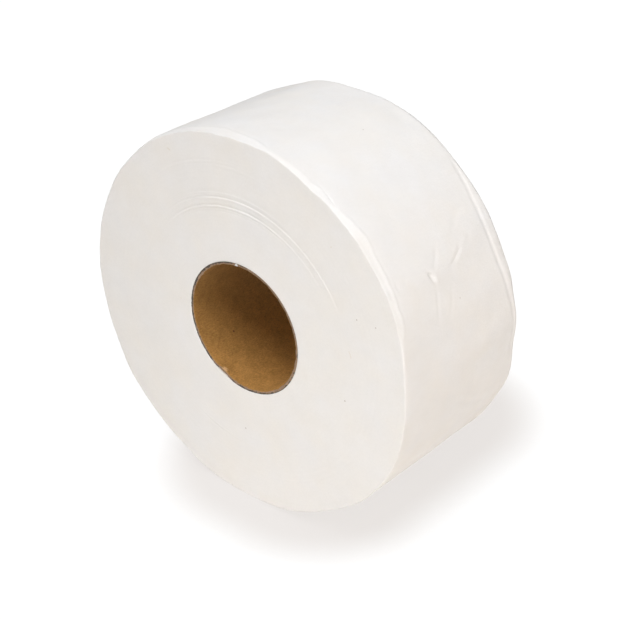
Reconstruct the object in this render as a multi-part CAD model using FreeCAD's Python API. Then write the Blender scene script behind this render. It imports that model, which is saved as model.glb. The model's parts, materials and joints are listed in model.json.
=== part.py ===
import FreeCAD, Part
import math
import os

# Toilet paper roll of the large kind that washroom dispensers take: tissue wound on a board core.
# Sizes are in millimetres and degrees, with +Z up. The roll stands on its tread, its axis runs along Y
# and its front end faces -Y. The origin is on the surface under the middle of the roll. Angles round
# the roll go from +X towards +Z, which is anticlockwise when it is seen from the front.

# Board core: a tube that a dispenser's spindle goes through
core_bore_radius = 38.1
core_wall = 1.75
core_setback = 0.3

# Wound tissue
roll_radius = 114.3
roll_width = 94.4
core_fit = 0.0
front_rim_radius = 3.5
back_rim_radius = 2.5
rim_facets = 3

# The outermost turn: its free end is glued down, and it stands one step above the turn below
tail_angle = 30.0
turn_step = 0.4

# Flat spot that the soft roll stands on
flat_half_width = 14.0
down_angle = 270.0

# Turns that show as rings on both ends, because they slipped a little along the core. Each one is
# placed by the thickness of tissue between the core and it.
slipped_turns = (32.5, 37.4, 57.2)
slipped_turn_width = 1.4
slipped_turn_depth = 0.6

# Fine rings between the core and the tread, where the winding tension changed
first_turn_line = 13.0
turn_line_spacing = 11.5
turn_line_width = 0.8
turn_line_depth = 0.25

# Crease round part of the tread near the back end, which leaves a low lip behind it
crease_from_back = 7.0
crease_width = 3.0
crease_depth = 0.8
crease_start_angle = -25.0
crease_end_angle = 52.0

front = -roll_width / 2
back = roll_width / 2
core_radius = core_bore_radius + core_wall
tissue_bore_radius = core_radius + core_fit
roll_centre = FreeCAD.Vector(0, 0, 0)
overshoot = 2.0


def outward(angle):
    """Unit vector away from the roll's axis at an angle."""
    return FreeCAD.Vector(math.cos(math.radians(angle)), 0, math.sin(math.radians(angle)))


def swept(corners, centre, start_angle, turn):
    """Solid that a straight-sided section of (radius, y) corners sweeps round an axis through a centre."""
    direction = outward(start_angle)
    points = [centre + direction * radius + FreeCAD.Vector(0, y, 0) for radius, y in corners]
    section = Part.Face(Part.makePolygon(points + points[:1]))
    return section.revolve(centre, FreeCAD.Vector(0, -1, 0), turn)


def outer_turn():
    """The outermost turn as four arcs, each tangent to the next and a quarter step smaller."""
    quarters = []
    centre = roll_centre
    quarter_step = turn_step / 4
    for quarter in range(4):
        angle = tail_angle + 90 * quarter
        if quarter > 0:
            centre = centre + outward(angle) * quarter_step
        quarters.append((centre, roll_radius - quarter * quarter_step, angle))
    return quarters


def flat_level():
    """Height of the flat spot, seen from the roll's axis."""
    quarter = int(((down_angle - tail_angle) % 360) // 90)
    centre, radius = outer_turn()[quarter][:2]
    return centre.z - math.sqrt(radius**2 - flat_half_width**2)


def rim_corners(radius, end_y, rim_radius, inward):
    """Corners along the rounded rim, from the end face out to the tread."""
    corners = []
    for facet in range(rim_facets + 1):
        slope = math.radians(90 * facet / rim_facets)
        from_end = rim_radius * (1 - math.cos(slope))
        from_tread = rim_radius * (1 - math.sin(slope))
        corners.append((radius - from_tread, end_y + inward * from_end))
    return corners


def wound_quarter(centre, radius, angle):
    """Quarter of the wound tissue under one arc of the outermost turn, out from that arc's centre."""
    front_rim = rim_corners(radius, front, front_rim_radius, 1)
    back_rim = rim_corners(radius, back, back_rim_radius, -1)
    corners = [(0, front)] + front_rim + back_rim[::-1] + [(0, back)]
    return swept(corners, centre, angle, 90)


def through_hole(radius):
    """Cylinder along the roll's axis that reaches past both ends."""
    length = roll_width + 2 * overshoot
    start = FreeCAD.Vector(0, front - overshoot, 0)
    return Part.makeCylinder(radius, length, start, FreeCAD.Vector(0, 1, 0))


def turn_groove(radius, width, depth, end_y, inward):
    """Shallow V all round an end face, with its width given at the face."""
    half_width = width / 2 * (depth + overshoot) / depth
    outside = end_y - inward * overshoot
    bottom = end_y + inward * depth
    corners = [(radius - half_width, outside), (radius, bottom), (radius + half_width, outside)]
    return swept(corners, roll_centre, 0, 360)


def turn_lines():
    """Tissue thicknesses at the fine rings, which keep clear of the slipped turns and the rims."""
    thickest = roll_radius - tissue_bore_radius - max(front_rim_radius, back_rim_radius) - turn_line_width
    thicknesses = []
    thickness = first_turn_line
    while thickness < thickest:
        nearest = min(abs(thickness - slipped) for slipped in slipped_turns)
        if nearest > slipped_turn_width + turn_line_width:
            thicknesses.append(thickness)
        thickness += turn_line_spacing
    return thicknesses


def turn_rings():
    """All the rings that the turns draw on the two end faces."""
    rings = [(thickness, slipped_turn_width, slipped_turn_depth) for thickness in slipped_turns]
    rings += [(thickness, turn_line_width, turn_line_depth) for thickness in turn_lines()]
    grooves = []
    for end_y, inward in ((front, 1), (back, -1)):
        for thickness, width, depth in rings:
            grooves.append(turn_groove(tissue_bore_radius + thickness, width, depth, end_y, inward))
    return grooves


def back_crease():
    """V-shaped crease in the tread, in front of the lip at the back end."""
    bottom = roll_radius - turn_step / 2 - crease_depth
    half_width = crease_width / 2 * (crease_depth + overshoot) / crease_depth
    middle_y = back - crease_from_back
    rim = bottom + crease_depth + overshoot
    corners = [(bottom, middle_y), (rim, middle_y - half_width), (rim, middle_y + half_width)]
    return swept(corners, roll_centre, crease_start_angle, crease_end_angle - crease_start_angle)


def below_flat():
    """Block under the flat spot, to cut the tread with."""
    reach = roll_radius + overshoot
    corner = FreeCAD.Vector(-reach, front - overshoot, flat_level() - reach)
    return Part.makeBox(2 * reach, roll_width + 2 * overshoot, reach, corner)


def tissue_roll():
    """All the turns of tissue as one solid."""
    quarters = [wound_quarter(*quarter) for quarter in outer_turn()]
    wound = quarters[0].fuse(quarters[1:])
    wound = wound.cut([through_hole(tissue_bore_radius), below_flat(), back_crease()] + turn_rings())
    return wound.removeSplitter()


def cardboard_core():
    """Glued board tube, its ends just behind the tissue's."""
    length = roll_width - 2 * core_setback
    start = FreeCAD.Vector(0, front + core_setback, 0)
    tube = Part.makeCylinder(core_radius, length, start, FreeCAD.Vector(0, 1, 0))
    return tube.cut(through_hole(core_bore_radius))


def write(name, shape):
    """Save one piece, lifted so that the flat spot is at height zero."""
    placed = shape.copy()
    placed.translate(FreeCAD.Vector(0, 0, -flat_level()))
    placed.exportStep(os.path.join("parts", name + ".step"))


os.makedirs("parts", exist_ok=True)
write("tissue_roll", tissue_roll())
write("cardboard_core", cardboard_core())
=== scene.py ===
import bpy
import json
import math
import numpy as np
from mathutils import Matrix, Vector, noise


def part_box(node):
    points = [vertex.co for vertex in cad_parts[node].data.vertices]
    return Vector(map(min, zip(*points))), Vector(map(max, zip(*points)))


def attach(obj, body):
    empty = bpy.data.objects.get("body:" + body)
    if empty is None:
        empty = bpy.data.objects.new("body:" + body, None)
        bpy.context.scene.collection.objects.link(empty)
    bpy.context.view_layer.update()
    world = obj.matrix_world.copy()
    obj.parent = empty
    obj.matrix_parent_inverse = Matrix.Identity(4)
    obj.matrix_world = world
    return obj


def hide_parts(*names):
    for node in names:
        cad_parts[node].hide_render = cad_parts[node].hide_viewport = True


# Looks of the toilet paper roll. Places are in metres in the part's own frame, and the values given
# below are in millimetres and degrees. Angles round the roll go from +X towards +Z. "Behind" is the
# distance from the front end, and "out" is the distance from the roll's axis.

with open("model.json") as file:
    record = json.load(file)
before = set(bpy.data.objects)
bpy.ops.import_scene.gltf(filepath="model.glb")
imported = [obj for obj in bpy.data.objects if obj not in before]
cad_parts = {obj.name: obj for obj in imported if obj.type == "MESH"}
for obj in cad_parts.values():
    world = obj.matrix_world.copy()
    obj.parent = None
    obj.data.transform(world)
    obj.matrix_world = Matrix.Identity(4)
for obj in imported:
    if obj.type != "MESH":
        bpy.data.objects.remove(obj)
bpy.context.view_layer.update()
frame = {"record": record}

MM = 0.001

# Sizes from the frame
tissue_low, tissue_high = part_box("tissue_roll")
core_low, core_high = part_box("cardboard_core")
front_y = tissue_low.y
roll_width = tissue_high.y - tissue_low.y
roll_radius = (tissue_high.x - tissue_low.x) / 2
floor_z = tissue_low.z
axis_z = (core_low.z + core_high.z) / 2
core_radius = (core_high.x - core_low.x) / 2
core_front_y = core_low.y
core_length = core_high.y - core_low.y
core_mount = next(m for m in frame["record"]["mounts"] if m["name"] == "core_bore")
bore_radius = core_mount["dims"]["r_mm"] * MM


# Shapes of curves

# A stroke's height at its ends, as a share of its full height, and the share of its length over which
# it rises from there
STROKE_END_HEIGHT = 0.25
STROKE_RISE = 0.4


def stations(*spans):
    """Places along a line, from (start, end, spacing) spans that follow each other."""
    places = []
    for start, end, spacing in spans:
        count = max(1, round(abs(end - start) / spacing))
        places += [start + (end - start) * step / count for step in range(count)]
    return np.array(places)


def bell(distance, half_width):
    """1 at distance 0, falling smoothly to nearly 0 at twice the half width."""
    return np.exp(-((distance / half_width) ** 2))


def ramp(value, low, high):
    """Smooth rise from 0 at low to 1 at high."""
    share = np.clip((value - low) / (high - low), 0, 1)
    return share * share * (3 - 2 * share)


def turn_from(angle, start):
    """Turn from start to angle, between -180 and 180 degrees."""
    return (angle - start + 180) % 360 - 180


def between(angle, first, last, fade):
    """1 from the angle first to the angle last, fading to 0 outside them."""
    middle = (first + last) / 2
    half = (last - first) / 2
    return 1 - ramp(np.abs(turn_from(angle, middle)), half - fade / 2, half + fade / 2)


def bulges(angle, places):
    """Sum of low rounded bulges, each an (angle, half width in degrees, height in mm)."""
    total = np.zeros_like(angle)
    for centre, half_width, height in places:
        total += height * bell(turn_from(angle, centre), half_width)
    return total


def along(angle, points):
    """Value at an angle, between given (angle, value) points from -180 to 180."""
    turn = turn_from(angle, 0)
    ordered = sorted(points)
    return np.interp(turn, [p[0] for p in ordered], [p[1] for p in ordered], period=360)


def round_axis(angle, out):
    """How far along X and Z from the axis a point is, at an angle and a distance out."""
    radians = np.radians(angle)
    return np.cos(radians) * out, np.sin(radians) * out


def unevenness(x, y, z, size, seed):
    """Smooth noise from -1 to 1 at each point, with lumps of about that size."""
    flat = zip(np.ravel(x) / size, np.ravel(y) / size, np.ravel(z) / size + seed)
    return np.array([noise.noise(Vector(point)) for point in flat]).reshape(np.shape(x))


def stroke(angle, behind, points, half_width, height, radius):
    """Ridge along (angle, mm behind) points, lower at both ends; a crease where height is negative."""
    scale = math.radians(1) * radius / MM
    arc = turn_from(angle, 0) * scale
    across = behind / MM
    places = [(a * scale, b) for a, b in points]
    lengths = [math.dist(one, two) for one, two in zip(places[:-1], places[1:])]
    nearest = np.full(np.shape(arc), np.inf)
    along_it = np.zeros_like(arc)
    gone = 0.0
    for (ax, ay), (bx, by), length in zip(places[:-1], places[1:], lengths):
        share = ((arc - ax) * (bx - ax) + (across - ay) * (by - ay)) / length**2
        share = np.clip(share, 0, 1)
        gap = np.hypot(arc - ax - share * (bx - ax), across - ay - share * (by - ay))
        along_it = np.where(gap < nearest, gone + share * length, along_it)
        nearest = np.minimum(nearest, gap)
        gone += length
    to_end = np.minimum(along_it, gone - along_it) / gone
    rise = STROKE_END_HEIGHT + (1 - STROKE_END_HEIGHT) * ramp(to_end, 0, STROKE_RISE)
    return height * bell(nearest, half_width) * rise


# Meshes

def joined(blocks):
    """One grid from blocks of rows: angles, distances out, places along the roll and material slots."""
    slots = np.concatenate([np.full(len(block[0]), block[3]) for block in blocks])
    angle, out, place = (np.concatenate([block[i] for block in blocks]) for i in range(3))
    return angle, out, place, slots


def ring_mesh(name, x, y, z, materials, slots):
    """Closed mesh from a grid of points: rows follow the section, columns go round the axis."""
    rows, columns = x.shape
    points = np.stack([x, y, z], axis=-1).reshape(-1, 3)
    index = np.arange(rows * columns).reshape(rows, columns)
    next_row = np.roll(index, -1, axis=0)
    next_column = np.roll(index, -1, axis=1)
    opposite = np.roll(next_row, -1, axis=1)
    # This order of corners turns each face outwards
    faces = np.stack([index, next_row, opposite, next_column], axis=-1).reshape(-1, 4)
    mesh = bpy.data.meshes.new(name)
    mesh.from_pydata(points.tolist(), [], faces.tolist())
    for material in materials:
        mesh.materials.append(material)
    mesh.polygons.foreach_set("material_index", np.repeat(slots, columns).astype(np.int32))
    mesh.polygons.foreach_set("use_smooth", np.ones(len(faces), dtype=bool))
    mesh.update()
    piece = bpy.data.objects.new(name, mesh)
    bpy.context.scene.collection.objects.link(piece)
    return piece


# Tissue: its outline is a little out of round, and differently so at each end
FRONT_BULGES = (
    (80, 6, 0.9), (65, 4, -0.8), (47, 4, 0.8), (26, 10, 1.5), (4, 9, -1.0), (-24, 13, 1.2),
    (-42, 8, 0.7), (108, 8, 0.8), (122, 8, 0.9), (143, 6, 0.1), (165, 26, 1.2), (179, 8, 0.9),
    (202, 14, 1.2), (218, 9, 1.9), (234, 9, 0.8), (256, 8, 1.3), (303, 10, -0.8),
)
BACK_BULGES = (
    (-54, 9, 0.3), (-30, 10, 1.8), (-16, 9, 2.9), (-4, 8, 1.4), (6, 7, 3.0), (17, 6, 2.5), (27, 7, 1.4),
    (38, 8, 1.1), (49, 7, 0.5), (60, 7, 1.3), (70, 7, 1.5), (92, 8, -0.8), (114, 10, -2.3),
    (150, 12, 0.5), (190, 14, -0.6), (225, 12, 0.6), (-11, 6, 1.2), (2, 5, 0.4), (79, 4, 0.6),
)

# The glued end of the sheet: a step down along this line of (mm behind, angle)
TAIL_LINE = (
    (0, 30.6), (9, 30.1), (21, 31.2), (29, 30.6), (35, 29.4), (48, 29.0), (55, 29.6),
    (61, 31.2), (72, 33.2), (85, 34.4), (95, 35.0),
)
SHEET_STEP = 0.08
TAIL_DROP = 0.6
TAIL_DROP_TURN = 5.0

# How far from the glued end the columns of the grid still follow it: fully, and not at all
TAIL_COLUMN = 30.0
TAIL_FOLLOWED = (3, 26)

# Creases and ridges that the glued end pulls in the tread, as points, half width and height in mm
TREAD_STROKES = (
    (((30.4, 32.8), (28.5, 34.4), (27.0, 35.4)), 1.45, -1.25),
    (((27.6, 37.2), (26.0, 36.2)), 1.2, 0.35),
    (((26.4, 35.4), (23.4, 33.7), (20.0, 31.6), (16.6, 30.2)), 0.95, -0.28),
    (((24.6, 47.0), (20.4, 43.6), (15.6, 38.6)), 1.2, -0.15),
    (((33.0, 64.0), (30.8, 60.0), (29.6, 55.5), (28.2, 50.0)), 1.5, -0.48),
    (((35.0, 46.0), (32.2, 41.6), (30.0, 37.6)), 1.3, -0.34),
    (((36.6, 62.0), (38.6, 67.0), (40.0, 74.0)), 2.0, -0.28),
    (((31.4, 68.0), (34.0, 74.0)), 1.8, -0.22),
    (((64.0, 5.2), (60.0, 3.8), (55.6, 2.0)), 0.6, -0.50),
    (((32.4, 8.4), (29.6, 9.0)), 1.5, -0.40),
    (((31.2, 12.6), (31.4, 17.0)), 1.2, -0.22),
    (((-10.0, 44.0), (-15.0, 60.0), (-17.5, 72.0), (-22.0, 69.0)), 2.5, -0.35),
    (((86.0, 20.0), (88.0, 27.0)), 4.0, -0.30),
    (((70.0, 84.0), (74.0, 88.0)), 3.5, -0.28),
    (((50.0, 30.0), (44.0, 20.0)), 5.0, -0.25),
)

# Soft unevenness of the tread: height, how it is drawn out along the roll, size of its lumps and seed
TREAD_UNEVENNESS = ((0.50, 1.0, 30, 3.1), (0.30, 0.7, 12, 7.7), (0.07, 0.6, 5, 11.3))

# The relief grows to its full height between these distances from the edges of the tread
RELIEF_FROM_FRONT = (0.3, 3)
RELIEF_FROM_BACK = (0.2, 1.5)

# Crease in front of the lip at the back end, as (angle, mm behind)
BACK_CREASE = (
    (-40, 88.0), (-16, 89.6), (0, 91.0), (6, 90.8), (10, 90.4), (15, 88.6), (22, 87.2), (28, 86.4),
    (35, 86.0), (41, 86.9), (48, 89.4), (56, 92.0), (180, 92.0),
)
BACK_CREASE_ANGLES = (-6, 52)
BACK_CREASE_FADE = 14
BACK_CREASE_DEPTH = 0.36
BACK_CREASE_HALF_WIDTH = 1.5

# The lip rises between two distances past the crease, and falls from a third one to the edge
BACK_LIP_HEIGHT = 0.22
BACK_LIP_RISE = (0.1, 1.9)
BACK_LIP_FALL = 1.4
BACK_LIP_SHORTEST_FALL = 0.8

# Crushed rim at the front end: how far back along the tread it reaches, as (angle, mm)
FRONT_RIM_REACH = (
    (-30, 1.3), (0, 1.3), (16, 1.5), (19, 2.8), (22, 3.8), (26, 4.1), (32.5, 4.0), (39, 4.2), (45, 5.4),
    (50.9, 4.7), (57.3, 2.2), (62.4, 4.4), (67.8, 2.8), (73.4, 3.1), (79.5, 2.6), (88, 4.5), (98, 6.6),
    (108, 4.4), (118, 2.6), (150, 2.2), (-90, 2.0),
)

# How far the face's edge lies below the tread at the front, and where it lies less far below: by how
# much, between which angles, and over how many degrees that fades
FRONT_RIM_DROP = 1.25
FRONT_RIM_DROP_LESS = ((0.3, -80, 42, 16), (0.7, -80, 10, 18))
BACK_RIM_REACH = 2.8
BACK_RIM_DROP = 1.3

# Section of a rim: the power of its curve, which gets less as the rim's reach goes from the first
# value to the second
ROUND_RIM_POWER = 1.7
CRUSHED_RIM_LESS = 0.68
CRUSHED_RIM_REACH = (2.2, 3.4)

# Border of the crushed rim: a low ridge with a shallow dip behind it, where the rim reaches far enough
BORDER_REACH = (2.2, 3.6)
BORDER_RIDGE_HEIGHT = 0.14
BORDER_RIDGE_HALF_WIDTH = 0.6
BORDER_DIP_DEPTH = 0.08
BORDER_DIP_GAP = 1.6
BORDER_DIP_HALF_WIDTH = 0.8

# Waves of that border along the tread, and of the front edge outwards: height, level in the noise,
# size and seed
BORDER_WAVES = ((1.1, 0.3, 9, 2.0), (0.7, 0.7, 3.5, 6.0))
BORDER_WAVES_REACH = (2.0, 4.0)
EDGE_WAVES = ((0.40, 0.1, 11, 3.0), (0.30, 0.9, 3.5, 8.0))
EDGE_WAVES_REACH = 2.4

# Rings where a turn slipped: mm out, depth in mm, first and last angle
FRONT_RINGS = (
    (77.6, 0.34, 76, 122), (72.8, 0.36, 78, 130), (80.6, 0.12, 72, 118), (77.5, 0.2, -116, -96),
    (77.5, 0.15, 32, 76), (72.9, 0.12, 40, 78), (79.1, 0.10, 90, 126), (82.1, 0.08, 94, 124),
    (71.0, 0.12, 66, 128), (69.6, 0.10, 74, 124), (98.2, 0.12, 94, 126), (96.4, 0.08, 84, 112),
)
BACK_RINGS = (
    (72.5, 0.34, -60, 70), (77.2, 0.30, 10, 190), (97.0, 0.22, 120, 300), (58.0, 0.12, -150, 20),
)
RING_FADE = 32
RING_HALF_WIDTH = 0.5
RIDGE_GAP = 1.0
RIDGE_SHARE = 0.7

# Soft unevenness of the end faces: height, size of its lumps, and what is added to the face's seed. It
# grows to its full height between these distances from the core and from the tread.
FACE_UNEVENNESS = ((0.45, 34, 0), (0.10, 9, 4))
FACE_UNEVEN_FROM_CORE = (0, 8)
FACE_UNEVEN_FROM_TREAD = (2, 12)
FRONT_SEED = 21.0
BACK_SEED = 42.0

# Places of the grid's columns round the roll, and of its rows along the section
FACE_WIDTH = 72.6
tissue_columns = stations(
    (-40, 14, 0.6), (14, 29.6, 0.3), (29.6, 30.4, 0.16), (30.4, 38, 0.3), (38, 70, 0.5), (70, 130, 0.7),
    (130, 320, 1.6),
)
front_face_out = stations(
    (0, 3, 0.8), (3, 28.5, 2.6), (28.5, 40.6, 0.4), (40.6, 54.5, 2.4), (54.5, 59.5, 0.6),
    (59.5, 70, 2.2), (70, FACE_WIDTH, 0.7),
)
tread_behind = stations(
    (0, 0.4, 0.2), (0.4, 1.6, 0.4), (1.6, 9.4, 0.6), (9.4, 26, 1.7), (26, 62, 1.0), (62, 84, 1.5),
    (84, 93.4, 0.6), (93.4, 94.4, 0.25),
) * MM
back_face_out = stations(
    (FACE_WIDTH, 70, 0.9), (70, 40, 2.2), (40, 29, 0.6), (29, 3, 2.6), (3, 0, 1.0),
)
tissue_bore_share = stations((1, 0, 0.34))

# Least slope at which a line out from the axis is taken to reach the floor
NEARLY_LEVEL = 1e-3


def sheared(column, behind):
    """Angle of a grid column at a distance behind: near the tail it follows the end of the sheet."""
    tail = np.interp(behind / MM, [p[0] for p in TAIL_LINE], [p[1] for p in TAIL_LINE])
    followed = 1 - ramp(np.abs(turn_from(column, TAIL_COLUMN)), *TAIL_FOLLOWED)
    return column + (tail - TAIL_COLUMN) * followed


def outer_radius(column, angle, behind):
    """Tread's distance from the axis before its rims and creases."""
    share = behind / roll_width
    out_of_round = (1 - share) * bulges(angle, FRONT_BULGES) + share * bulges(angle, BACK_BULGES)
    above_tail = (column - TAIL_COLUMN) % 360
    fall = ramp(above_tail, 360 - TAIL_DROP_TURN, 360) - above_tail / 360
    step = SHEET_STEP * (0.5 - above_tail / 360)
    return roll_radius + (out_of_round + TAIL_DROP * fall + step) * MM


def back_lip(angle, behind):
    """Height in mm of the crease near the back end and the lip behind it."""
    crease = along(angle, BACK_CREASE)
    reach = between(angle, *BACK_CREASE_ANGLES, BACK_CREASE_FADE)
    past = behind / MM - crease
    to_edge = np.maximum(roll_width / MM - crease - BACK_LIP_FALL, BACK_LIP_SHORTEST_FALL)
    fall = np.clip((past - BACK_LIP_FALL) / to_edge, 0, 1)
    lip = BACK_LIP_HEIGHT * ramp(past, *BACK_LIP_RISE) * (1 - fall)
    return reach * (lip - BACK_CREASE_DEPTH * bell(past, BACK_CREASE_HALF_WIDTH))


def tread_relief(angle, behind):
    """Creases, ridges and soft unevenness of the tread."""
    relief = back_lip(angle, behind)
    for points, half_width, height in TREAD_STROKES:
        relief += stroke(angle, behind, points, half_width, height, roll_radius)
    x, z = round_axis(angle, roll_radius)
    for height, drawn_out, size, seed in TREAD_UNEVENNESS:
        relief += height * unevenness(x, behind * drawn_out, z, size * MM, seed)
    return relief * MM


def edge_noise(angle, waves):
    """Unevenness in mm round the front edge, as the sum of (height, level, size, seed) waves."""
    x, z = round_axis(angle, roll_radius)
    total = np.zeros_like(x)
    for height, level, size, seed in waves:
        total += height * unevenness(x, z, np.full_like(x, level), size * MM, seed)
    return total


def pressed_reach(angle):
    """How far the crushed rim at the front reaches along the tread, with its uneven border."""
    reach = along(angle, FRONT_RIM_REACH)
    return (reach + edge_noise(angle, BORDER_WAVES) * ramp(reach, *BORDER_WAVES_REACH)) * MM


def edge_wave(angle):
    """Small waves of the tissue's front edge, outwards."""
    return edge_noise(angle, EDGE_WAVES) * MM


def front_drop(angle):
    """How far the face's edge lies below the tread at the front: less low down on the right."""
    less = sum(part * between(angle, *where) for part, *where in FRONT_RIM_DROP_LESS)
    return (FRONT_RIM_DROP - less) * MM


def back_drop(angle):
    """The same at the back."""
    return np.full_like(angle, BACK_RIM_DROP * MM)


def rim_fall(distance, reach, drop):
    """How far a rim lies below the tread: rounded where its reach is short, and crushed elsewhere."""
    share = np.clip(distance / reach, 0, 1)
    power = ROUND_RIM_POWER - CRUSHED_RIM_LESS * ramp(reach / MM, *CRUSHED_RIM_REACH)
    return drop * (1 - (1 - (1 - share) ** power) ** (1 / power))


def border_relief(behind, reach):
    """Ridge and dip at the border of the crushed rim."""
    past = (behind - reach) / MM
    ridge = BORDER_RIDGE_HEIGHT * bell(past, BORDER_RIDGE_HALF_WIDTH)
    dip = BORDER_DIP_DEPTH * bell(past - BORDER_DIP_GAP, BORDER_DIP_HALF_WIDTH)
    return ramp(reach / MM, *BORDER_REACH) * (ridge - dip) * MM


def face_relief(angle, out, rings, seed):
    """Rings and soft unevenness of an end face, outwards along the axis."""
    relief = np.zeros_like(angle)
    for ring_out, depth, first, last in rings:
        reach = depth * between(angle, first, last, RING_FADE)
        past = out / MM - ring_out
        relief -= reach * bell(past, RING_HALF_WIDTH)
        relief += RIDGE_SHARE * reach * bell(past + RIDGE_GAP, RING_HALF_WIDTH)
    from_core = ramp((out - core_radius) / MM, *FACE_UNEVEN_FROM_CORE)
    from_tread = ramp((roll_radius - out) / MM, *FACE_UNEVEN_FROM_TREAD)
    x, z = round_axis(angle, out)
    for height, size, added in FACE_UNEVENNESS:
        lumps = unevenness(x, z, np.zeros_like(x), size * MM, seed + added)
        relief += from_core * from_tread * height * lumps
    return relief * MM


def rest_on_floor(angle, out):
    """The same distance out, or less where the roll would pass through the floor."""
    down = np.maximum(-np.sin(np.radians(angle)), NEARLY_LEVEL)
    return np.minimum(out, (axis_z - floor_z) / down)


def face_rows(places_out, end_y, outward, rim_drop, rings, seed):
    """Rows of an end face, at places out from the core."""
    column, share = np.meshgrid(tissue_columns, places_out / FACE_WIDTH)
    behind = np.full_like(column, abs(end_y - front_y))
    angle = column + share * (sheared(column, behind) - column)
    edge = outer_radius(column, angle, behind) - rim_drop(angle)
    if outward < 0:
        edge = edge + edge_wave(angle)
    out = rest_on_floor(angle, core_radius + (edge - core_radius) * share)
    return angle, out, end_y + outward * face_relief(angle, out, rings, seed), 0


def tread_rows():
    """Rows of the tread, from the front to the back."""
    column, behind = np.meshgrid(tissue_columns, tread_behind)
    angle = sheared(column, behind)
    from_front = ramp(behind / MM, *RELIEF_FROM_FRONT)
    from_back = ramp((roll_width - behind) / MM, *RELIEF_FROM_BACK)
    reach = pressed_reach(angle)
    out = outer_radius(column, angle, behind)
    out = out + tread_relief(angle, behind) * from_front * from_back
    out = out - rim_fall(behind, reach, front_drop(angle))
    out = out + border_relief(behind, reach)
    out = out + edge_wave(angle) * (1 - ramp(behind / MM, 0, EDGE_WAVES_REACH))
    out = out - rim_fall(roll_width - behind, BACK_RIM_REACH * MM, BACK_RIM_DROP * MM)
    return angle, rest_on_floor(angle, out), front_y + behind, 1


def tissue_bore_rows():
    """Rows of the tissue's hole, from the back to the front."""
    angle, share = np.meshgrid(tissue_columns, tissue_bore_share)
    return angle, np.full_like(angle, core_radius), front_y + share * roll_width, 0


def tissue_grid():
    """Points of the tissue's surface, and the material slot of each row of faces."""
    back_y = front_y + roll_width
    angle, out, y, slots = joined([
        face_rows(front_face_out, front_y, -1, front_drop, FRONT_RINGS, FRONT_SEED),
        tread_rows(),
        face_rows(back_face_out, back_y, 1, back_drop, BACK_RINGS, BACK_SEED),
        tissue_bore_rows(),
    ])
    x, z = round_axis(angle, out)
    return x, y, axis_z + z, slots


# Board core: the dent in its front rim
DENT_ANGLE = -114
DENT_HALF_WIDTH = 8
DENT_DEPTH = 1.3
DENT_REACH = 4.5

# Helical seam of the inner ply: its angle at the front end, and its turn over the core's length
SEAM_START = 62
SEAM_TURN = -95
SEAM_DEPTH = 0.4
SEAM_HALF_WIDTH = 0.8

# Fine crease in the inner wall, as (angle, mm behind), and the wall's soft unevenness
WALL_CREASE = ((-134.5, 4.8), (-136.0, 6.1), (-141.1, 10.3), (-145.9, 13.2), (-147.5, 14.0))
WALL_CREASE_HALF_WIDTH = 0.7
WALL_CREASE_DEPTH = 0.6
WALL_UNEVEN_HEIGHT = 0.12
WALL_UNEVEN_SIZE = 14
WALL_UNEVEN_SEED = 9.0
WALL_SKIN = 0.1

# Frayed ends: how far along the core the fray reaches, the size of its tufts, how much finer they are
# through the wall, how far they move outwards and along, and the skin next to the tissue that stays
FRAY_REACH = 0.6
FRAY_SIZE = 2.6
FRAY_FINER = 3
FRAY_SEED = 5.5
FRAY_OUTWARDS = 0.55
FRAY_ALONG = 0.5
FRAY_SKIN = 0.2

core_angles = stations((0, 360, 1))
rim_share = stations((0, 1, 0.2))
core_length_mm = core_length / MM
core_wall_behind = stations(
    (core_length_mm, core_length_mm - 4, 0.8), (core_length_mm - 4, 28, 2.0), (28, 0, 0.55),
) * MM
core_outside_behind = stations((0, core_length_mm, 12)) * MM


def core_side_rows(radius, places_behind):
    """Rows of the core's inner or outer side."""
    angle, behind = np.meshgrid(core_angles, places_behind)
    return angle, np.full_like(angle, radius), behind, 0


def core_end_rows(shares, end_behind):
    """Rows of one of the core's ends, at shares of the wall's thickness."""
    angle, share = np.meshgrid(core_angles, shares)
    out = bore_radius + (core_radius - bore_radius) * share
    return angle, out, np.full_like(angle, end_behind), 1


def core_relief(angle, out, behind):
    """How far the core's surface lies inwards of a true tube."""
    dent = DENT_DEPTH * bell(turn_from(angle, DENT_ANGLE), DENT_HALF_WIDTH)
    dent = dent * bell(behind / MM, DENT_REACH)
    seam_angle = SEAM_START + SEAM_TURN * behind / core_length
    seam_gap = np.radians(turn_from(angle, seam_angle)) * bore_radius / MM
    seam = -SEAM_DEPTH * bell(seam_gap, SEAM_HALF_WIDTH)
    x, z = round_axis(angle, out)
    soft = WALL_UNEVEN_HEIGHT * unevenness(x, behind, z, WALL_UNEVEN_SIZE * MM, WALL_UNEVEN_SEED)
    crease = stroke(angle, behind, WALL_CREASE, WALL_CREASE_HALF_WIDTH, WALL_CREASE_DEPTH, bore_radius)
    on_wall = out < bore_radius + WALL_SKIN * MM
    return (dent + (seam + soft + crease) * on_wall) * MM


def core_grid():
    """Points of the core's surface, and the material slot of each row of faces."""
    angle, out, behind, slots = joined([
        core_side_rows(bore_radius, core_wall_behind),
        core_end_rows(rim_share, 0.0),
        core_side_rows(core_radius, core_outside_behind),
        core_end_rows(1 - rim_share, core_length),
    ])
    x, z = round_axis(angle, out)
    near_end = np.minimum(behind, core_length - behind)
    tufts = unevenness(x, out * FRAY_FINER, z, FRAY_SIZE * MM, FRAY_SEED)
    fray = bell(near_end, FRAY_REACH * MM) * tufts * MM
    is_free = out < core_radius - FRAY_SKIN * MM
    into_core = np.where(behind < core_length / 2, 1.0, -1.0)
    out = out - core_relief(angle, out, behind) + FRAY_OUTWARDS * fray * is_free
    y = core_front_y + behind + into_core * FRAY_ALONG * np.abs(fray)
    x, z = round_axis(angle, out)
    return x, y, axis_z + z, slots


# Nodes of the materials

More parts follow.
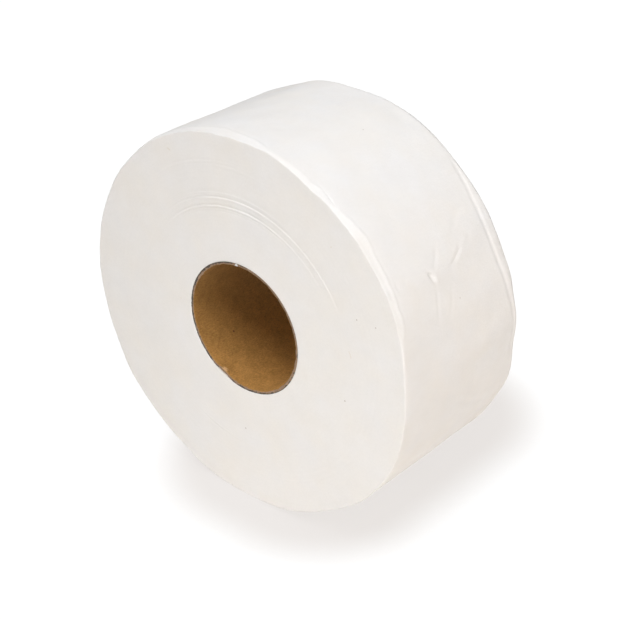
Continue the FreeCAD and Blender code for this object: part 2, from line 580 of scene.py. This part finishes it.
# Middle of a noise texture's range
GRAIN_MIDDLE = (0.3, 0.7)

# The share of a speck's size, and of a torn patch's, that is fully tinted
SPECK_SOLID = 0.5
TORN_SOLID = 0.7

# Fineness of a patch's torn edge, and how far the tears go as a share of its size
TORN_SCALE = 1100
TORN_SHARE = 1.6


def feed(tree, socket, value):
    """Give a socket its value, or link it where the value is another socket."""
    if isinstance(value, bpy.types.NodeSocket):
        tree.links.new(value, socket)
    else:
        socket.default_value = value


def node(tree, kind, *values, operation=None, **inputs):
    """New node, with its inputs given in their order or by name."""
    made = tree.nodes.new(kind)
    if operation:
        made.operation = operation
    for socket, value in zip(made.inputs, values):
        feed(tree, socket, value)
    for name, value in inputs.items():
        feed(tree, made.inputs[name], value)
    return made


def math_node(tree, operation, first, second=0.0):
    """Result of a sum on numbers."""
    return node(tree, "ShaderNodeMath", first, second, operation=operation).outputs["Value"]


def vector_node(tree, operation, first, second=(0, 0, 0), result="Vector"):
    """Result of a sum on vectors, which is a number where result is Value."""
    return node(tree, "ShaderNodeVectorMath", first, second, operation=operation).outputs[result]


def mapped(tree, value, span, result=(0.0, 1.0), curve="LINEAR"):
    """Value mapped from a span to the span of the result, and held at its two ends."""
    made = tree.nodes.new("ShaderNodeMapRange")
    made.interpolation_type = curve
    feed(tree, made.inputs["Value"], value)
    for name, number in zip(("From Min", "From Max", "To Min", "To Max"), span + result):
        made.inputs[name].default_value = number
    return made.outputs["Result"]


def mixed(tree, factor, first, second):
    """Colour mix; factor, first and second are numbers, colours or sockets."""
    made = tree.nodes.new("ShaderNodeMix")
    made.data_type = "RGBA"
    for name, value in (("Factor_Float", factor), ("A_Color", first), ("B_Color", second)):
        feed(tree, next(s for s in made.inputs if s.identifier == name), value)
    return next(s for s in made.outputs if s.identifier == "Result_Color")


def times(tree, colour, value):
    """Colour with its brightness multiplied by a value."""
    return node(tree, "ShaderNodeVectorMath", colour, operation="SCALE", Scale=value).outputs["Vector"]


def object_place(tree):
    """Place of the shaded point on the object."""
    return tree.nodes.new("ShaderNodeTexCoord").outputs["Object"]


def stretched(tree, scale):
    """That place, scaled along each axis."""
    return node(tree, "ShaderNodeMapping", Vector=object_place(tree), Scale=scale).outputs["Vector"]


def grain(tree, vector, scale, detail, roughness=0.6):
    """Noise texture's value, about 0.5 on average."""
    settings = {"Scale": scale, "Detail": detail, "Roughness": roughness}
    return node(tree, "ShaderNodeTexNoise", Vector=vector, **settings).outputs["Fac"]


def shade(tree, value, low, high):
    """Noise mapped from the middle of its range to a brightness between low and high."""
    return mapped(tree, value, GRAIN_MIDDLE, (low, high))


def distance_from_axis(tree):
    """Distance of the shaded point from the roll's axis."""
    place = node(tree, "ShaderNodeSeparateXYZ", Vector=object_place(tree))
    height = math_node(tree, "SUBTRACT", place.outputs["Z"], axis_z)
    across_squared = math_node(tree, "POWER", place.outputs["X"], 2.0)
    height_squared = math_node(tree, "POWER", height, 2.0)
    return math_node(tree, "SQRT", math_node(tree, "ADD", across_squared, height_squared))


def across_core(tree, angle, start, end, low, high):
    """Value from low to high between two distances from the axis, measured towards an angle."""
    offset = vector_node(tree, "SUBTRACT", object_place(tree), (0.0, 0.0, axis_z))
    radians = math.radians(angle)
    towards = (math.cos(radians), 0.0, math.sin(radians))
    side = vector_node(tree, "DOT_PRODUCT", offset, towards, result="Value")
    return mapped(tree, side, (start, end), (low, high))


def specks(tree, colour, places, size, tint):
    """Small specks of another colour at given points."""
    for place in places:
        gap = vector_node(tree, "DISTANCE", object_place(tree), place, result="Value")
        inside = mapped(tree, gap, (size * SPECK_SOLID, size), (1.0, 0.0))
        colour = mixed(tree, inside, colour, tint)
    return colour


def torn_patch(tree, colour, place, size, tint):
    """Patch of another colour with a torn edge, round a point."""
    point = object_place(tree)
    gap = vector_node(tree, "DISTANCE", point, place, result="Value")
    torn = math_node(tree, "SUBTRACT", grain(tree, point, TORN_SCALE, 3), 0.5)
    reach = math_node(tree, "ADD", gap, math_node(tree, "MULTIPLY", torn, size * TORN_SHARE))
    inside = mapped(tree, reach, (size * TORN_SOLID, size), (1.0, 0.0))
    return mixed(tree, inside, colour, tint)


def new_material(name):
    """New material, its node tree and its shader."""
    material = bpy.data.materials.new(name)
    material.use_nodes = True
    tree = material.node_tree
    return material, tree, tree.nodes["Principled BSDF"]


def give_surface(tree, shader, colour, roughness, specular):
    """Set the shader's colour and gloss."""
    tree.links.new(colour, shader.inputs["Base Color"])
    shader.inputs["Roughness"].default_value = roughness
    shader.inputs["Specular IOR Level"].default_value = specular


def add_bump(tree, shader, height, distance):
    """Roughen the shader's surface, by a distance in mm."""
    bump = node(tree, "ShaderNodeBump", Height=height, Distance=distance * MM, Strength=1.0)
    tree.links.new(bump.outputs["Normal"], shader.inputs["Normal"])


# Materials of the tissue

def point_at(angle, out, y):
    """Point at an angle and a distance out."""
    radians = math.radians(angle)
    return (math.cos(radians) * out, y, axis_z + math.sin(radians) * out)


def face_point(out, angle):
    """Point on the front face, at a distance out in mm."""
    return point_at(angle, out * MM, front_y)


def tread_point(angle, behind):
    """Point on the tread, with its bulges and creases, at a distance behind in mm."""
    angles = np.array([float(angle)])
    places = np.array([behind * MM])
    out = outer_radius(angles, angles, places) + tread_relief(angles, places)
    return point_at(angle, float(out[0]), front_y + behind * MM)


TISSUE_WARM = (0.866, 0.838, 0.798, 1.0)
TISSUE_COOL = (0.862, 0.848, 0.834, 1.0)
TREAD_WARM = (0.865, 0.846, 0.819, 1.0)
TREAD_COOL = (0.860, 0.855, 0.850, 1.0)
TISSUE_ROUGHNESS = 0.95
TISSUE_SPECULAR = 0.25

FACE_SPECKS = (
    face_point(88.2, 24.9), face_point(99.6, 22.0), face_point(66.1, -89.7), face_point(74.5, -12.2),
)
FACE_SPECK_SIZE = 0.48 * MM
FACE_SPECK_TINT = (0.42, 0.36, 0.31, 1.0)
FACE_STAINS = (
    face_point(96.1, 49.5), face_point(47.7, 178.1), face_point(106.8, 119.4), face_point(106.2, 119.1),
    face_point(105.6, 118.8), face_point(77.3, 9.4), face_point(77.2, 10.0), face_point(77.1, 10.6),
    face_point(76.9, 11.2), face_point(76.6, 11.8),
)
FACE_STAIN_SIZE = 0.5 * MM
FACE_STAIN_TINT = (0.79, 0.74, 0.66, 1.0)
TREAD_SPECKS = (tread_point(19.7, 49.9), tread_point(72.2, 58.5))
TREAD_SPECK_SIZE = 0.5 * MM
TREAD_SPECK_TINT = (0.68, 0.64, 0.60, 1.0)


def tissue_end_material():
    """Edges of the turns, pressed flat by the cut: fibrous, with faint rings."""
    material, tree, shader = new_material("tissue_end")
    even = stretched(tree, (1, 1, 1))
    ring_place = node(tree, "ShaderNodeCombineXYZ", X=distance_from_axis(tree)).outputs["Vector"]
    patches = grain(tree, even, scale=38, detail=2)
    clouds = grain(tree, even, scale=90, detail=2)
    rings = grain(tree, ring_place, scale=620, detail=3)
    fibres = grain(tree, even, scale=900, detail=4)
    colour = mixed(tree, shade(tree, patches, 0.0, 1.0), TISSUE_WARM, TISSUE_COOL)
    colour = times(tree, colour, shade(tree, clouds, 0.990, 1.007))
    colour = times(tree, colour, shade(tree, rings, 0.992, 1.006))
    colour = times(tree, colour, shade(tree, fibres, 0.985, 1.012))
    colour = specks(tree, colour, FACE_SPECKS, FACE_SPECK_SIZE, FACE_SPECK_TINT)
    colour = specks(tree, colour, FACE_STAINS, FACE_STAIN_SIZE, FACE_STAIN_TINT)
    give_surface(tree, shader, colour, TISSUE_ROUGHNESS, TISSUE_SPECULAR)
    height = math_node(tree, "ADD", math_node(tree, "MULTIPLY", rings, 0.3), fibres)
    add_bump(tree, shader, height, distance=0.08)
    return material


def tissue_tread_material():
    """Face of the sheet: creped, with its fine wrinkles across the sheet."""
    material, tree, shader = new_material("tissue_tread")
    even = stretched(tree, (1, 1, 1))
    along_roll = stretched(tree, (1, 0.22, 1))
    patches = grain(tree, even, scale=42, detail=2)
    clouds = grain(tree, even, scale=75, detail=2)
    wrinkles = grain(tree, along_roll, scale=1100, detail=3)
    fibres = grain(tree, even, scale=520, detail=4)
    colour = mixed(tree, shade(tree, patches, 0.0, 1.0), TREAD_WARM, TREAD_COOL)
    colour = times(tree, colour, shade(tree, clouds, 0.988, 1.008))
    colour = times(tree, colour, shade(tree, wrinkles, 0.991, 1.007))
    colour = specks(tree, colour, TREAD_SPECKS, TREAD_SPECK_SIZE, TREAD_SPECK_TINT)
    give_surface(tree, shader, colour, TISSUE_ROUGHNESS, TISSUE_SPECULAR)
    height = math_node(tree, "ADD", wrinkles, math_node(tree, "MULTIPLY", fibres, 0.8))
    add_bump(tree, shader, height, distance=0.085)
    return material


# Materials of the core

def wall_point(angle, behind):
    """Point on the core's inner wall, at a distance in mm behind its front end."""
    return point_at(angle, bore_radius, core_front_y + behind * MM)


# The painted highlight at the dent, the flake of tissue on the front rim and the speck on the wall
DENT_HIGHLIGHT_PLACE = wall_point(-115.5, 0.6)
DENT_HIGHLIGHT_SIZE = 2.4 * MM
DENT_HIGHLIGHT_TINT = (0.66, 0.41, 0.19, 1.0)
FLAKE_PLACE = wall_point(96.0, -0.4)
FLAKE_SIZE = 1.5 * MM
WALL_SPECKS = (wall_point(-140.7, 23.1),)
WALL_SPECK_SIZE = 0.7 * MM
WALL_SPECK_TINT = (0.10, 0.05, 0.02, 1.0)

# Kraft board, and painted light and shade across the bore: paler towards one side, darker towards the
# other
KRAFT_LIGHT = (0.44, 0.230, 0.064, 1.0)
KRAFT_DARK = (0.29, 0.152, 0.040, 1.0)
PAINTED_LIGHT_ANGLE = -45.0
PAINTED_LIT_SIDE = 1.30
PAINTED_SHADED_SIDE = 0.79

# Cut ends of the board: the border between the two plies, as shares of the wall's thickness, how far
# its fray goes, and the side on which the pale ply covers more
BOARD_EDGE_PALE = (0.33, 0.220, 0.143, 1.0)
BOARD_EDGE_GREY = (0.104, 0.086, 0.070, 1.0)
PLY_BORDER = (0.36, 0.60)
PLY_FRAY = 2.4
PALE_PLY_ANGLE = 15.0
PALE_PLY_REACH = 0.6
PALE_PLY_MORE = 0.36


def kraft_material():
    """Inner ply of the core: brown kraft board with short fibres and specks, painted light and shade,
    and a painted highlight at the dent.
    """
    material, tree, shader = new_material("kraft_board")
    patches = grain(tree, stretched(tree, (1, 1, 1)), scale=160, detail=4)
    fibres = grain(tree, stretched(tree, (1.0, 0.45, 1.0)), scale=1500, detail=4, roughness=0.7)
    # Painted light and shade: the board is paler towards one side of the bore and darker towards the
    # other
    painted_light_and_shade = across_core(tree, PAINTED_LIGHT_ANGLE, -bore_radius, bore_radius, PAINTED_SHADED_SIDE, PAINTED_LIT_SIDE)
    colour = mixed(tree, shade(tree, patches, 0.2, 0.9), KRAFT_DARK, KRAFT_LIGHT)
    colour = times(tree, colour, shade(tree, fibres, 0.68, 1.30))
    colour = times(tree, colour, painted_light_and_shade)
    # Painted highlight: a pale patch at the dent in the front rim
    colour = torn_patch(tree, colour, DENT_HIGHLIGHT_PLACE, DENT_HIGHLIGHT_SIZE, DENT_HIGHLIGHT_TINT)
    colour = torn_patch(tree, colour, FLAKE_PLACE, FLAKE_SIZE, TISSUE_COOL)
    colour = specks(tree, colour, WALL_SPECKS, WALL_SPECK_SIZE, WALL_SPECK_TINT)
    give_surface(tree, shader, colour, roughness=0.85, specular=0.3)
    add_bump(tree, shader, fibres, distance=0.12)
    return material


def board_edge_material():
    """Cut end of the core: pale inner ply and grey outer ply, both frayed."""
    material, tree, shader = new_material("board_edge")
    even = stretched(tree, (1, 1, 1))
    fray = grain(tree, even, scale=480, detail=4)
    fibres = grain(tree, even, scale=1300, detail=3)
    out = math_node(tree, "SUBTRACT", distance_from_axis(tree), bore_radius)
    share = math_node(tree, "DIVIDE", out, core_radius - bore_radius)
    ragged = math_node(tree, "MULTIPLY", math_node(tree, "SUBTRACT", fray, 0.5), PLY_FRAY)
    share = math_node(tree, "ADD", share, ragged)
    more_pale = across_core(tree, PALE_PLY_ANGLE, 0.0, PALE_PLY_REACH * bore_radius, 0.0, PALE_PLY_MORE)
    grey = mapped(tree, math_node(tree, "SUBTRACT", share, more_pale), PLY_BORDER)
    colour = mixed(tree, grey, BOARD_EDGE_PALE, BOARD_EDGE_GREY)
    colour = times(tree, colour, shade(tree, fibres, 0.75, 1.25))
    colour = torn_patch(tree, colour, FLAKE_PLACE, FLAKE_SIZE, TISSUE_COOL)
    give_surface(tree, shader, colour, roughness=0.95, specular=0.2)
    add_bump(tree, shader, fray, distance=0.25)
    return material


# Pieces

def make_tissue():
    """The wound tissue, in place of its plain solid."""
    x, y, z, slots = tissue_grid()
    piece = ring_mesh("wound_tissue", x, y, z, [tissue_end_material(), tissue_tread_material()], slots)
    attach(piece, "root")
    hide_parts("tissue_roll")


def make_core():
    """The board core, in place of its plain solid."""
    x, y, z, slots = core_grid()
    piece = ring_mesh("board_core", x, y, z, [kraft_material(), board_edge_material()], slots)
    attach(piece, "root")
    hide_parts("cardboard_core")


# Stage, light and camera

# The ground lights the roll with one colour. What the camera sees of it is a weakly lit part, which
# keeps the lamps' shadow, and a tone with a painted shadow: darker near the foot of the roll and white
# far off, over a fade outside a box round the middle of the painted shadow.
FLOOR_SIZE = 8.0
FLOOR_GAP = 0.1
FLOOR_COLOUR = (0.92, 0.89, 0.855, 1.0)
FLOOR_SHOWN = (0.08, 0.081, 0.082, 1.0)
PAINTED_SHADOW_TONE = (0.766, 0.734, 0.711, 1.0)
FLOOR_LIFT_FAR = (1.0, 1.0, 1.0, 1.0)
PAINTED_SHADOW_MIDDLE = (0.010, 0.0385, 0.0)
PAINTED_SHADOW_HALF_SIZE = (0.014, 0.0475, 0.0)
PAINTED_SHADOW_FADE = (0.050, 0.093)

# Light all round, its share from behind the roll, and the directions along Y between which it fades
WORLD_LIGHT = (0.353, 0.358, 0.357, 1.0)
WORLD_BEHIND = 0.25
WORLD_FADE = (-0.2, 0.6)
WHITE = (1, 1, 1, 1)


def seen_directly(tree):
    """1 for rays that show the background: from the camera, or by reflection or through glass."""
    path = tree.nodes.new("ShaderNodeLightPath")
    total = math_node(tree, "ADD", path.outputs["Is Camera Ray"], path.outputs["Is Glossy Ray"])
    total = math_node(tree, "ADD", total, path.outputs["Is Transmission Ray"])
    return math_node(tree, "MINIMUM", total, 1.0)


def by_ray(tree, lighting, shown):
    """Shader that lights the roll in one way and shows the background in another."""
    made = node(tree, "ShaderNodeMixShader", seen_directly(tree), lighting.outputs[0], shown.outputs[0])
    return made.outputs["Shader"]


def floor_tone_with_painted_shadow(tree):
    """Tone of the ground that the camera sees, with a painted shadow: darker round the foot of the
    roll.
    """
    offset = vector_node(tree, "SUBTRACT", object_place(tree), PAINTED_SHADOW_MIDDLE)
    outside = vector_node(tree, "SUBTRACT", vector_node(tree, "ABSOLUTE", offset), PAINTED_SHADOW_HALF_SIZE)
    outside = vector_node(tree, "MAXIMUM", outside, (0, 0, 0))
    away = vector_node(tree, "LENGTH", outside, result="Value")
    fade = mapped(tree, away, PAINTED_SHADOW_FADE, curve="SMOOTHSTEP")
    return mixed(tree, fade, PAINTED_SHADOW_TONE, FLOOR_LIFT_FAR)


def floor_material():
    """Plain white ground that keeps the roll's shadow, with a painted shadow round its foot."""
    material = bpy.data.materials.new("floor")
    material.use_nodes = True
    tree = material.node_tree
    tree.nodes.clear()
    lit = node(tree, "ShaderNodeBsdfDiffuse", Color=FLOOR_COLOUR)
    shadowed = node(tree, "ShaderNodeBsdfDiffuse", Color=FLOOR_SHOWN)
    # Painted shadow: the tone seen round the foot of the roll is darker
    tone_and_painted_shadow = node(tree, "ShaderNodeEmission", Color=floor_tone_with_painted_shadow(tree), Strength=1.0)
    shown = node(tree, "ShaderNodeAddShader", shadowed.outputs[0], tone_and_painted_shadow.outputs[0])
    node(tree, "ShaderNodeOutputMaterial", Surface=by_ray(tree, lit, shown))
    return material


def make_floor():
    """One large square just under the roll."""
    half = FLOOR_SIZE / 2
    z = floor_z - FLOOR_GAP * MM
    corners = [(-half, -half, z), (half, -half, z), (half, half, z), (-half, half, z)]
    mesh = bpy.data.meshes.new("floor")
    mesh.from_pydata(corners, [], [(0, 1, 2, 3)])
    mesh.materials.append(floor_material())
    floor = bpy.data.objects.new("floor", mesh)
    bpy.context.scene.collection.objects.link(floor)


def make_world():
    """Soft light all round, weaker from behind the roll, shown as white."""
    world = bpy.data.worlds.new("studio")
    bpy.context.scene.world = world
    world.use_nodes = True
    tree = world.node_tree
    tree.nodes.clear()
    place = tree.nodes.new("ShaderNodeTexCoord").outputs["Generated"]
    direction = node(tree, "ShaderNodeSeparateXYZ", Vector=place)
    strength = mapped(tree, direction.outputs["Y"], WORLD_FADE, (1.0, WORLD_BEHIND), "SMOOTHSTEP")
    lighting = node(tree, "ShaderNodeBackground", Color=WORLD_LIGHT, Strength=strength)
    shown = node(tree, "ShaderNodeBackground", Color=WHITE, Strength=1.0)
    node(tree, "ShaderNodeOutputWorld", Surface=by_ray(tree, lighting, shown))


# Soft lamps: name, place, what they face, size, energy and colour
LAMPS = (
    ("overhead", (0.0, -0.04, 1.5), (0, 0, axis_z), 0.8, 4.4, (1.0, 1.0, 0.99)),
    ("front", (0.1, -0.95, 1.3), (0, 0, axis_z), 0.6, 1.3, (1.0, 0.98, 0.98)),
    ("front_high", (0.3, -0.6, 1.5), (0, 0, axis_z), 0.6, 9.4, (1.0, 0.97, 0.98)),
    ("right", (1.3, -0.43, 1.1), (0, 0, axis_z), 1.0, 4.2, (1.0, 1.0, 0.98)),
    ("low_front", (0.12, -0.40, 0.03), (0.02, 0, 0.05), 0.2, 0.285, (1.0, 1.0, 0.98)),
    ("low_right", (0.55, -0.06, 0.04), (0.05, 0, 0.06), 0.25, 0.58, (1.0, 0.83, 0.69)),
)


def make_lamp(name, place, target, size, energy, colour):
    """Square soft light that faces a target."""
    lamp = bpy.data.lights.new(name, "AREA")
    lamp.shape = "SQUARE"
    lamp.size = size
    lamp.energy = energy
    lamp.color = colour
    holder = bpy.data.objects.new(name, lamp)
    holder.location = place
    holder.rotation_euler = (Vector(target) - Vector(place)).to_track_quat("-Z", "Y").to_euler()
    bpy.context.scene.collection.objects.link(holder)


# The photograph's view: direction and distance to the middle of the roll, and the picture's centre
VIEW_AZIMUTH = 40.62
VIEW_ELEVATION = 30.70
VIEW_DISTANCE = 0.9017
VIEW_RIGHT = 0.0061
VIEW_UP = -0.0079
LENS_FOCAL = 92.05
SENSOR_WIDTH = 36


def make_camera():
    """Camera at the photograph's viewing angle."""
    azimuth = math.radians(VIEW_AZIMUTH)
    elevation = math.radians(VIEW_ELEVATION)
    back = Vector((
        math.sin(azimuth) * math.cos(elevation),
        -math.cos(azimuth) * math.cos(elevation),
        math.sin(elevation),
    ))
    turn = back.to_track_quat("Z", "Y")
    right = turn @ Vector((1, 0, 0))
    up = turn @ Vector((0, 1, 0))
    data = bpy.data.cameras.new("camera")
    data.lens = LENS_FOCAL
    data.sensor_width = SENSOR_WIDTH
    camera = bpy.data.objects.new("camera", data)
    middle = Vector((0, front_y + roll_width / 2, axis_z))
    camera.location = middle + back * VIEW_DISTANCE + right * VIEW_RIGHT + up * VIEW_UP
    camera.rotation_euler = turn.to_euler()
    bpy.context.scene.collection.objects.link(camera)
    bpy.context.scene.camera = camera


make_tissue()
make_core()
make_floor()
make_world()
for lamp in LAMPS:
    make_lamp(*lamp)
make_camera()
bpy.context.scene.view_settings.view_transform = "Standard"
